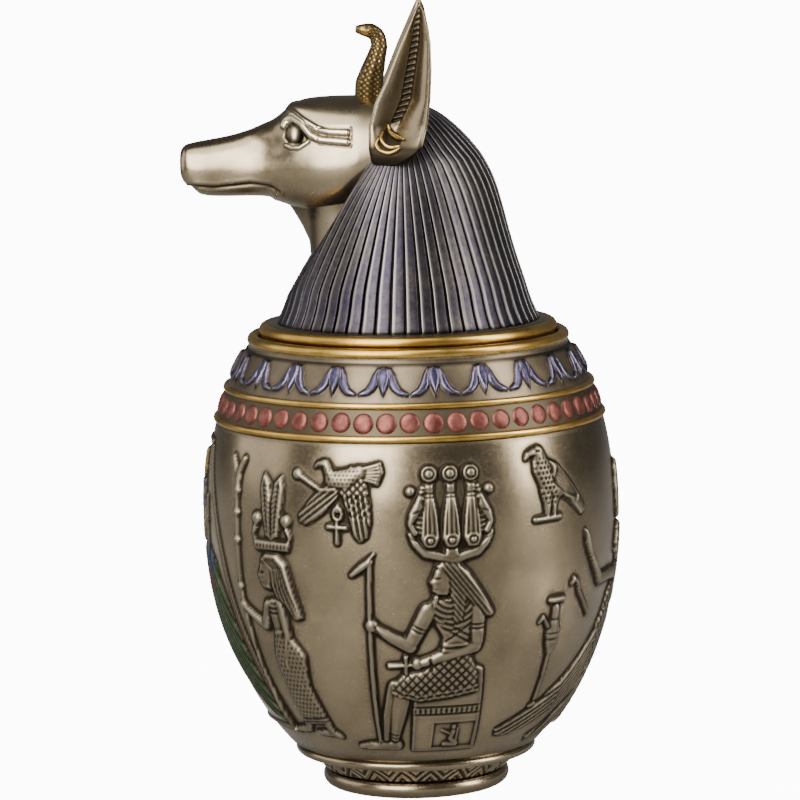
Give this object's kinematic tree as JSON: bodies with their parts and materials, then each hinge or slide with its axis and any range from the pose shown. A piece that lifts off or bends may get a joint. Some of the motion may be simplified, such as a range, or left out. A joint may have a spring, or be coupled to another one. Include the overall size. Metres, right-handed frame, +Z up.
{
  "type": "canopic jar",
  "caption": "Egg-shaped lidded jar on a low foot, with a frieze of gods in low relief, bands of lotus and beads, and a lid cast as a jackal's head in a striped headcloth.",
  "frame": {"origin": "centre of the foot's flat underside", "axes": "+Z up along the jar's axis; the jackal looks along -X, and the relief with the seated god faces -Y"},
  "size_m": [0.1666, 0.1606, 0.3043],
  "materials": {
    "antique_bronze": "satin, darkened in the recesses",
    "headcloth_metal": "satin with a blue-violet wash and dark grooves"
  },
  "bodies": {
    "root": {"jar": "antique_bronze", "jackal_lid": "headcloth_metal"}
  },
  "joints": []
}
